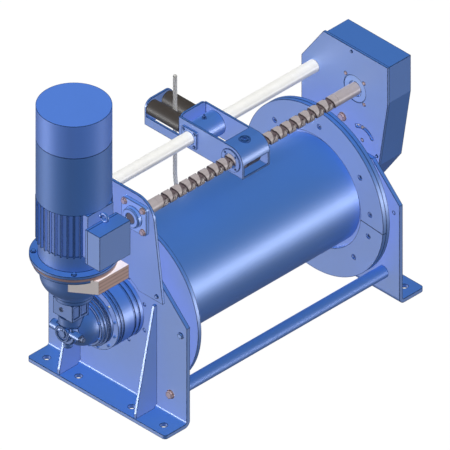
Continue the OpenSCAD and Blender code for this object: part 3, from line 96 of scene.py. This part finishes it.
class Socket:
    """One output of a shader node, which adds and multiplies like a number."""

    def __init__(self, owner, end):
        self.owner, self.end = owner, end

    def math(self, operation, *terms):
        settings = {"operation": operation}
        return self.owner.node("Math", settings, dict(enumerate(terms)))

    def __add__(self, other):
        return self.math("ADD", self, other)

    __radd__ = __add__

    def __sub__(self, other):
        return self.math("SUBTRACT", self, other)

    def __rsub__(self, other):
        return self.math("SUBTRACT", other, self)

    def __mul__(self, other):
        return self.math("MULTIPLY", self, other)

    __rmul__ = __mul__

    def sine(self):
        return self.math("SINE", self)

    def clamped(self):
        return self.owner.node("Clamp", inputs={"Value": self})

    def rising(self, steepness):
        """0 where this is negative, then a ramp up to 1."""
        return (self * steepness).clamped()

    def mingled(self, share, other):
        """A share of this and the rest of the other."""
        return (self * share + other * (1 - share)).clamped()


class Tree:
    """A node tree, and the one way to add a node to it."""

    def __init__(self, tree):
        self.tree = tree

    def node(self, kind, settings=None, inputs=None, output=0):
        made = self.tree.nodes.new("ShaderNode" + kind)
        for key, value in (settings or {}).items():
            setattr(made, key, value)
        for key, value in (inputs or {}).items():
            self.feed(made.inputs[key], value)
        return Socket(self, made.outputs[output])

    def feed(self, socket, value):
        if isinstance(value, Socket):
            self.tree.links.new(value.end, socket)
        else:
            socket.default_value = value


class Finish(Tree):
    """A material with one Principled shader, and the nodes that vary it."""

    def __init__(self, name, **constants):
        self.material = bpy.data.materials.new(name)
        self.material.use_nodes = True
        super().__init__(self.material.node_tree)
        self.tree.nodes.clear()
        self.shader = self.tree.nodes.new("ShaderNodeBsdfPrincipled")
        surface = self.tree.nodes.new("ShaderNodeOutputMaterial")
        self.surface = surface.inputs["Surface"]
        self.tree.links.new(self.shader.outputs[0], self.surface)
        self.set(**constants)

    def set(self, **values):
        for key, value in values.items():
            self.feed(self.shader.inputs[key.replace("_", " ")], value)

    def vector(self, operation, one, other, output=0):
        """Vector or, at the output Value, the number made of two vectors."""
        return self.node(
            "VectorMath", {"operation": operation}, {0: one, 1: other}, output
        )

    def place(self):
        """Point on the piece."""
        return self.node("TexCoord", output="Object")

    def coordinate(self, axis):
        return self.node("SeparateXYZ", inputs={0: self.place()}, output=axis)

    def away(self, centre):
        """Distance from a point."""
        return self.vector("DISTANCE", self.place(), centre, "Value")

    def alike(self, way):
        """Cosine between the face's own normal and a direction."""
        plain = self.node("NewGeometry", output="Normal")
        return self.vector("DOT_PRODUCT", plain, way, "Value")

    def noise(self, scale, stretch=(1, 1, 1), detail=3.0):
        """Cloudy pattern from 0 to 1, finer along an axis with a larger stretch."""
        point = self.vector("MULTIPLY", self.place(), stretch)
        return self.node(
            "TexNoise",
            inputs={
                "Vector": point,
                "Scale": scale,
                "Detail": detail,
                "Roughness": NOISE_ROUGHNESS,
            },
        )

    def mix(self, factor, low, high):
        """Colour that goes from low to high with the factor."""
        return self.node(
            "Mix", {"data_type": "RGBA"}, {0: factor, 6: low, 7: high}, output=2
        )

    def varied(self, tone, colour, darkest, lightest):
        """Colour that goes from darker to lighter with the tone."""
        return self.mix(tone, shade(colour, darkest), shade(colour, lightest))

    def spot(self, centre, reach):
        """1 within reach of a point, 0 elsewhere."""
        return (reach - self.away(centre)).rising(SPOT_RISE)

    def facing(self, way):
        """1 on faces whose normal points that way, 0 on the others."""
        return (self.alike(way) - FACING_COSINE).rising(FACING_RISE)

    def edge_line(self, width):
        """1 on the line along every sharp edge, 0 on open surface."""
        rounded = self.node("Bevel", {"samples": EDGE_SAMPLES}, {"Radius": width})
        return (EDGE_COSINE - self.alike(rounded)).rising(EDGE_RISE)

    def ink(self, edge, colour):
        """Lays a dull line without gloss over the finish where edge is 1."""
        dull = self.node(
            "BsdfPrincipled",
            inputs={
                "Base Color": colour,
                "Roughness": 1.0,
                "Specular IOR Level": 0.0,
            },
        )
        bare = Socket(self, self.shader.outputs[0])
        over = self.node("MixShader", inputs={0: edge, 1: bare, 2: dull})
        self.tree.links.new(over.end, self.surface)

    def bump(self, height, depth):
        self.set(
            Normal=self.node("Bump", inputs={"Distance": depth, "Height": height})
        )

    def tool_marks(self, marks, rough):
        """Fine grooves, and a roughness that wavers with them about its level."""
        self.set(
            Roughness=(marks * MARK_SWING + (rough - MARK_SWING / 2)).clamped()
        )
        self.bump(marks, MARK_DEPTH)


# Colours


def linear(red, green, blue):
    """Linear colour of a screen colour given as 0 to 255."""

    def one(level):
        level /= 255
        return level / 12.92 if level <= 0.04045 else ((level + 0.055) / 1.055) ** 2.4

    return (one(red), one(green), one(blue), 1.0)


def shade(colour, amount):
    """The same colour, darker or lighter."""
    return (*[level * amount for level in colour[:3]], 1.0)


FRAME_BLUE = linear(73, 125, 207)
CAP_BLUE = linear(93, 145, 246)
DRUM_BLUE = linear(72, 126, 206)
BEARING_BLUE = linear(104, 150, 224)

# Widths of the lines at sharp edges: on most pieces, on the gearbox, on the
# level-wind screw, on the adapter's tab, and on the gearbox's screws
EDGE_LINE = 0.0046
GEAR_LINE = 0.006
GROOVE_LINE = 0.003
TAB_LINE = 0.0018
SMALL_BOLT_LINE = 0.0016
# How dark these lines are: on metals, and on the small painted things
METAL_INK = 0.85
SMALL_INK = 0.8

# Enamel

# Share of coloured gloss in the enamel, which is a fine metal flake
FLAKE = 0.23
COAT_IOR = 2.2
# Skin of the enamel: how fine its grain is, and how deep
SPRAYED_SKIN = (900.0, 0.00005)
CAST_SKIN = (420.0, 0.00025)
DRAWN_SKIN = (900.0, 0.00001)
# The slow drift of colour, the fine specks, and the drift's share of both
DRIFT_SCALE, SPECK_SCALE, DRIFT_SHARE = 3.5, 70.0, 0.7
ENAMEL_SHADES = (0.93, 1.07)
# How far the specks change the roughness, and how far below the coat's it starts
SPECK_SWING, SPECK_START = 0.12, 0.04
ENAMEL_INK_SHADE = 0.1


def painted(
    name,
    colour,
    skin=SPRAYED_SKIN,
    coat=0.68,
    soft=0.48,
    flake=FLAKE,
    line=EDGE_LINE,
):
    """Sprayed enamel: slow drifts of colour, fine skin, dark lines at sharp edges."""
    paint = Finish(
        name, Metallic=flake, Coat_Weight=coat, Coat_Roughness=soft, Coat_IOR=COAT_IOR
    )
    speck = paint.noise(SPECK_SCALE, detail=4.0)
    tone = paint.noise(DRIFT_SCALE, detail=2.0).mingled(DRIFT_SHARE, speck)
    paint.set(
        Base_Color=paint.varied(tone, colour, *ENAMEL_SHADES),
        Roughness=speck * SPECK_SWING + (soft - SPECK_START),
    )
    paint.ink(paint.edge_line(line), shade(colour, ENAMEL_INK_SHADE))
    grain, depth = skin
    paint.bump(paint.noise(grain, detail=2.0), depth)
    return paint.material


plate_paint = painted("plate_paint", FRAME_BLUE)
cast_paint = painted("cast_paint", FRAME_BLUE, skin=CAST_SKIN)
gear_paint = painted(
    "gear_paint", shade(FRAME_BLUE, 0.8), skin=CAST_SKIN, coat=0.45, line=GEAR_LINE
)
drum_paint = painted("drum_paint", DRUM_BLUE, coat=0.6, flake=0.3)
# The chain case, the fan cowl and the follower's cap are less glossy
case_paint = painted("case_paint", FRAME_BLUE, coat=0.35)
cap_paint = painted("cap_paint", CAP_BLUE, coat=0.5)
bearing_paint = painted("bearing_paint", BEARING_BLUE)
rod_paint = painted(
    "rod_paint", FRAME_BLUE, skin=DRAWN_SKIN, coat=0.6, soft=0.6, flake=0.45
)

# Adapter plate: the height where its rim starts, and how steeply
RIM_Z, RIM_RISE = 0.6336, 4000.0
# Its machined lines: waves up the height, where a line starts, and how steeply
LINE_WAVES, LINE_START, LINE_RISE = 430.0, 0.25, 4.0
# The most that a line darkens, and how it is broken along its way
LINE_SHARE, LINE_BREAKS = 0.8, (1, 1, 0.2)
TAB_COAT = 0.9


def adapter_paint():
    """Peach primer: the front is painted browner as shade, and has machined lines;
    the rim is dull.
    """
    paint = Finish("adapter_paint", Roughness=0.5, Coat_Roughness=0.48)
    # Faces that point to the front (-Y) take a browner copy of the peach: painted
    # shade.
    front = paint.facing((0.0, -1.0, 0.0))
    height = paint.coordinate("Z")
    rim = (height - RIM_Z).rising(RIM_RISE)
    waves = (height * LINE_WAVES).sine()
    breaks = paint.noise(scale=60.0, stretch=LINE_BREAKS) * LINE_SHARE
    lines = (waves - LINE_START).rising(LINE_RISE) * breaks
    speck = paint.noise(scale=90.0)
    peach = paint.mix(speck, linear(255, 240, 240), linear(255, 250, 250))
    # Painted shade: the front's brown, with the machined lines darker still.
    lined_shaded_brown = paint.mix(lines, linear(206, 172, 160), linear(140, 104, 96))
    faces = paint.mix(rim, paint.mix(front, peach, lined_shaded_brown), linear(158, 132, 136))
    paint.set(Base_Color=faces, Coat_Weight=(TAB_COAT - front - rim).clamped())
    paint.ink(paint.edge_line(TAB_LINE) * SMALL_INK, linear(74, 54, 60))
    paint.bump(paint.noise(scale=800.0), depth=0.00006)
    return paint.material


tan_paint = adapter_paint()

# The one screw of the gearbox that is not painted over: its middle and its reach
BARE_SCREW, BARE_REACH = (-0.6285, -0.0880, 0.4380), 0.011


def ring_bolt_paint():
    """The frame's blue; the one screw that is not painted over stays pale yellow."""
    paint = Finish("ring_bolt_paint", Roughness=0.5, Coat_Weight=0.3)
    tone = paint.noise(scale=60.0)
    body = paint.varied(tone, FRAME_BLUE, darkest=0.8, lightest=1.1)
    bare = paint.spot(BARE_SCREW, BARE_REACH)
    paint.set(Base_Color=paint.mix(bare, body, linear(222, 218, 178)))
    paint.ink(paint.edge_line(SMALL_BOLT_LINE) * SMALL_INK, shade(FRAME_BLUE, 0.16))
    paint.bump(paint.noise(scale=700.0), depth=0.00004)
    return paint.material


ring_bolt_coat = ring_bolt_paint()

# Metals

# Tool marks: how fine they are along each axis
RINGS_ROUND_X = (1400.0, 6.0, 6.0)
RINGS_ROUND_Y = (6.0, 1400.0, 6.0)
NO_DIRECTION = (160.0, 160.0, 160.0)
# Cloudy stains, and the marks' share of the tone that both make
CLOUD_SCALE, MARK_SHARE = 22.0, 0.55
METAL_SHADES = (0.84, 1.12)


def metal(name, colour, dark, rough, streak, metallic=0.9):
    """Machined or plated metal with fine tool marks along one direction."""
    steel = Finish(name, Metallic=metallic)
    marks = steel.noise(scale=1.0, stretch=streak, detail=4.0)
    tone = marks.mingled(MARK_SHARE, steel.noise(CLOUD_SCALE))
    steel.set(Base_Color=steel.varied(tone, colour, *METAL_SHADES))
    steel.ink(steel.edge_line(EDGE_LINE) * METAL_INK, dark)
    steel.tool_marks(marks, rough)
    return steel.material


rod_chrome = metal(
    "rod_chrome",
    colour=linear(246, 245, 240),
    dark=linear(90, 90, 92),
    rough=0.4,
    streak=RINGS_ROUND_X,
    metallic=0.0,
)
bolt_plating = metal(
    "bolt_plating",
    colour=linear(214, 190, 190),
    dark=linear(70, 50, 56),
    rough=0.36,
    streak=NO_DIRECTION,
    metallic=0.3,
)
plug_steel = metal(
    "plug_steel",
    colour=linear(120, 138, 176),
    dark=linear(28, 36, 60),
    rough=0.34,
    streak=NO_DIRECTION,
    metallic=0.3,
)
roller_coat = metal(
    "roller_coat",
    colour=linear(66, 61, 57),
    dark=linear(16, 14, 14),
    rough=0.56,
    streak=RINGS_ROUND_Y,
    metallic=0.0,
)
bush_bronze = metal(
    "bush_bronze",
    colour=linear(92, 84, 88),
    dark=linear(40, 34, 34),
    rough=0.5,
    streak=RINGS_ROUND_X,
    metallic=0.4,
)
chain_steel = metal(
    "chain_steel",
    colour=linear(110, 108, 106),
    dark=linear(30, 30, 30),
    rough=0.38,
    streak=NO_DIRECTION,
)
wire_steel = metal(
    "wire_steel",
    colour=linear(242, 240, 236),
    dark=linear(120, 120, 118),
    rough=0.5,
    streak=NO_DIRECTION,
    metallic=0.0,
)

# Level-wind screw: its axis, and the radius where its lands start, and how steeply
SCREW_Y, SCREW_Z = -0.1, 0.76
LAND_RADIUS, LAND_RISE = 0.0222, 2500.0


def groove_steel():
    """Turned steel: dull grey lands, and grooves painted darker as shade."""
    steel = Finish("turned_steel", Metallic=0.1)
    along = steel.coordinate("X")
    middle = steel.node("CombineXYZ", inputs={"X": along, "Y": SCREW_Y, "Z": SCREW_Z})
    land = (steel.away(middle) - LAND_RADIUS).rising(LAND_RISE)
    marks = steel.noise(scale=1.0, stretch=RINGS_ROUND_X, detail=4.0)
    tone = marks.mingled(share=0.6, other=steel.noise(scale=30.0))
    top = steel.mix(tone, linear(160, 150, 150), linear(200, 190, 190))
    # Painted shade: the grooves are darker than the lands.
    groove_shade = steel.mix(tone, linear(92, 80, 84), linear(120, 106, 110))
    steel.set(Base_Color=steel.mix(land, groove_shade, top))
    steel.ink(steel.edge_line(GROOVE_LINE), linear(30, 22, 24))
    steel.tool_marks(marks, rough=0.47)
    return steel.material


turned_steel = groove_steel()

# Which finish each solid has: its slot's, or one of its own

FINISH_OF_SLOT = {
    "blue_paint": plate_paint,
    "deep_blue_paint": case_paint,
    "bright_blue_paint": plate_paint,
    "zinc_bolts": bolt_plating,
    "ground_steel": rod_chrome,
    "plated_steel": rod_paint,
    "screw_steel": turned_steel,
    "roller_black": roller_coat,
    "bronze": bush_bronze,
    "tan_paint": tan_paint,
    "chain_steel": chain_steel,
    "rope_steel": wire_steel,
}
# Bolts and screws that are painted over with what they hold
PAINTED_OVER = (
    "ring_bolts",
    "motor_flange_bolts",
    "tower_bolts",
    "case_screws",
    "carriage_screws",
    "drum_mount_bolts",
)
FINISH_OF_NODE = {
    **dict.fromkeys(PAINTED_OVER, plate_paint),
    "gearbox_barrel": cast_paint,
    "gearbox_stage": gear_paint,
    "bevel_housing": gear_paint,
    "input_bell": gear_paint,
    "motor_flange_shield": cast_paint,
    "motor_stator": cast_paint,
    "motor_brake_cap": cap_paint,
    "drum_shell": drum_paint,
    "screw_bearing_near": bearing_paint,
    "screw_bearing_far": bearing_paint,
    "plate_screws": bearing_paint,
    "gearbox_bolts": ring_bolt_coat,
    "gearbox_plugs": plug_steel,
    "roller_pins": rod_chrome,
}


def dress_nodes():
    """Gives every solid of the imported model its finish."""
    for part in frame["record"]["subparts"]:
        node = frame["nodes"][part["node"]]
        usual = FINISH_OF_SLOT[part["material_slot"]]
        finish = FINISH_OF_NODE.get(part["node"], usual)
        if not node.material_slots:
            node.data.materials.append(finish)
        for place in node.material_slots:
            place.material = finish


# Rope

ROPE_X = -0.0105
ROPE_LOW, ROPE_HIGH = 0.350, 0.910
ROPE_D = 0.015
# Where its lower end lies, how far it leans back from there, and over which height
SEAT_Y, ROPE_LEAN = 0.208, 0.019
LEAN_LOW, LEAN_HEIGHT = 0.370, 0.150
# Six strands fit round a core of their own thickness, three across the rope
STRANDS = 6
STRAND_R = ROPE_D / 6
LAY_LENGTH = 0.095
# The wires of a strand: their number, their lay, and how far they stand out
WIRES = 6
WIRE_LAY = 0.032
WIRE_RELIEF = 0.06
ROPE_STEPS = 150
CORE_STRIDE = 5
STRAND_SIDES, CORE_SIDES = 18, 12


def rope_centre(z):
    """The rope's middle at a height; it leans in to its seat on the drum."""
    lean = min(1, max(0, (z - LEAN_LOW) / LEAN_HEIGHT))
    return Vector((ROPE_X, SEAT_Y + ROPE_LEAN * lean * lean * (3 - 2 * lean), z))


def tube(bm, points, radii, sides):
    """Adds a closed tube along points; radii(i, angle) gives its radius."""
    rings = []
    for i, point in enumerate(points):
        ahead = points[min(i + 1, len(points) - 1)] - points[max(i - 1, 0)]
        across = ahead.cross(Vector((0, 1, 0))).normalized()
        beside = ahead.cross(across).normalized()
        ring = []
        for j in range(sides):
            angle = 2 * math.pi * j / sides
            out = math.cos(angle) * across + math.sin(angle) * beside
            ring.append(bm.verts.new(point + radii(i, angle) * out))
        rings.append(ring)
    for low, high in zip(rings, rings[1:]):
        for j in range(sides):
            k = (j + 1) % sides
            bm.faces.new((low[j], low[k], high[k], high[j])).smooth = True
    bm.faces.new(rings[0][::-1])
    bm.faces.new(rings[-1])


def make_rope():
    """Six strands laid round a core, each with its own wires."""
    heights = [
        ROPE_LOW + (ROPE_HIGH - ROPE_LOW) * i / ROPE_STEPS
        for i in range(ROPE_STEPS + 1)
    ]

    def wires(i, angle):
        twist = 2 * math.pi * (heights[i] - ROPE_LOW) / WIRE_LAY
        ridge = math.cos(WIRES * (angle - twist))
        return STRAND_R * ((1 - WIRE_RELIEF) + WIRE_RELIEF * ridge)

    bm = bmesh.new()
    for s in range(STRANDS):
        points = []
        for z in heights:
            turn = 2 * math.pi * (s / STRANDS + (z - ROPE_LOW) / LAY_LENGTH)
            out = Vector((math.cos(turn), math.sin(turn), 0))
            points.append(rope_centre(z) + 2 * STRAND_R * out)
        tube(bm, points, wires, STRAND_SIDES)
    core = [rope_centre(z) for z in heights[::CORE_STRIDE]]
    tube(bm, core, lambda i, angle: STRAND_R, CORE_SIDES)
    bmesh.ops.recalc_face_normals(bm, faces=bm.faces)
    mesh = bpy.data.meshes.new("wire_rope")
    bm.to_mesh(mesh)
    bm.free()
    mesh.materials.append(wire_steel)
    rope = put_in_scene("wire_rope", mesh)
    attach(rope, "carriage")
    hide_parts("rope")


# Studio

FLOOR_HALF = 60
# Just under the feet, so that their soles don't flicker with the floor
FLOOR_Z = -0.0006
# Greys of the floor: as dull faces see it, and as the camera sees it
FLOOR_GREY, SEEN_GREY = 0.06, 0.13
FLOOR_GLOW = 0.88
# What shiny faces see of the floor: in front of the winch, and behind it
FRONT_CARD, BACK_CARD = 0.05, 0.1
# The line between the two: its slant, its shift, and how steep the change is
CARD_SLANT, CARD_SHIFT, CARD_RISE = 0.25, 0.4, 3.0
# The sky's strength on dull faces, and in shiny ones
SKY, MIRRORED_SKY = 0.16, 0.06
SKY_TINT = (0.97, 0.985, 1.0, 1.0)
# Widths of the lamps in radians
BROAD, NARROW = 0.4, 0.03
LAMPS = (
    # name, way towards it, strength, casts shadows, lights dull, shines in glossy
    ("above", (0.0, 0.0, 1.0), 2.4, False, True, False),
    ("front", (-0.68, -0.68, 0.28), 0.97, False, True, False),
    ("key", (-0.62, 0.78, 0.0), 0.7, False, True, False),
    ("key_shadow", (-0.60, 0.52, 0.60), 0.15, True, True, False),
    ("fill", (0.62, -0.78, 0.0), 0.6, False, True, False),
    ("back", (0.70, 0.70, 0.0), 0.9, False, True, False),
    ("glance", (-0.80, 0.58, -0.13), 2.9, False, False, True),
    ("fill_glance", (0.58, -0.80, -0.13), 1.35, False, False, True),
)


def grey(level):
    return (level, level, level, 1.0)


def make_floor():
    """Pale floor that looks white to the camera, and takes a soft shadow."""
    mesh = bpy.data.meshes.new("studio_floor")
    corners = ((-1, -1), (1, -1), (1, 1), (-1, 1))
    mesh.from_pydata(
        [(x * FLOOR_HALF, y * FLOOR_HALF, 0) for x, y in corners], [], [(0, 1, 2, 3)]
    )
    floor = put_in_scene("studio_floor", mesh)
    floor.location.z = FLOOR_Z
    pale = Finish("pale_floor", Roughness=0.9, Specular_IOR_Level=0.0)
    camera, glossy, through = (
        pale.node("LightPath", output=f"Is {ray} Ray")
        for ray in ("Camera", "Glossy", "Transmission")
    )
    seen = (camera + through).clamped()
    slant = pale.coordinate("Y") - pale.coordinate("X") * CARD_SLANT
    behind = (slant + CARD_SHIFT).rising(CARD_RISE)
    mirrored = pale.mix(behind, grey(FRONT_CARD), grey(BACK_CARD))
    glow = pale.mix(glossy, grey(0.0), mirrored)
    pale.set(
        Base_Color=pale.mix(seen, grey(FLOOR_GREY), grey(SEEN_GREY)),
        Emission_Color=pale.mix(seen, glow, grey(FLOOR_GLOW)),
        Emission_Strength=1.0,
    )
    mesh.materials.append(pale.material)


def make_lights():
    """Even light from all round; low lamps give the sides their gloss."""
    for name, towards, energy, casts, spreads, shines in LAMPS:
        lamp = bpy.data.lights.new(name, "SUN")
        lamp.energy = energy
        lamp.angle = BROAD if casts else NARROW
        lamp.use_shadow = casts
        sun = put_in_scene(name, lamp)
        sun.visible_diffuse = spreads
        sun.visible_glossy = shines
        aim(sun, "Z", towards)


def make_sky():
    """Pale sky, darker where shiny faces mirror it."""
    world = bpy.data.worlds.new("sky")
    world.use_nodes = True
    sky = Tree(world.node_tree)
    glossy = sky.node("LightPath", output="Is Glossy Ray")
    level = sky.node(
        "MapRange", inputs={"Value": glossy, "To Min": SKY, "To Max": MIRRORED_SKY}
    )
    background = world.node_tree.nodes["Background"]
    sky.feed(background.inputs["Color"], SKY_TINT)
    sky.feed(background.inputs["Strength"], level)
    bpy.context.scene.world = world


make_camera()
make_rope()
dress_nodes()
make_floor()
make_lights()
make_sky()
bpy.context.scene.view_settings.view_transform = "Standard"
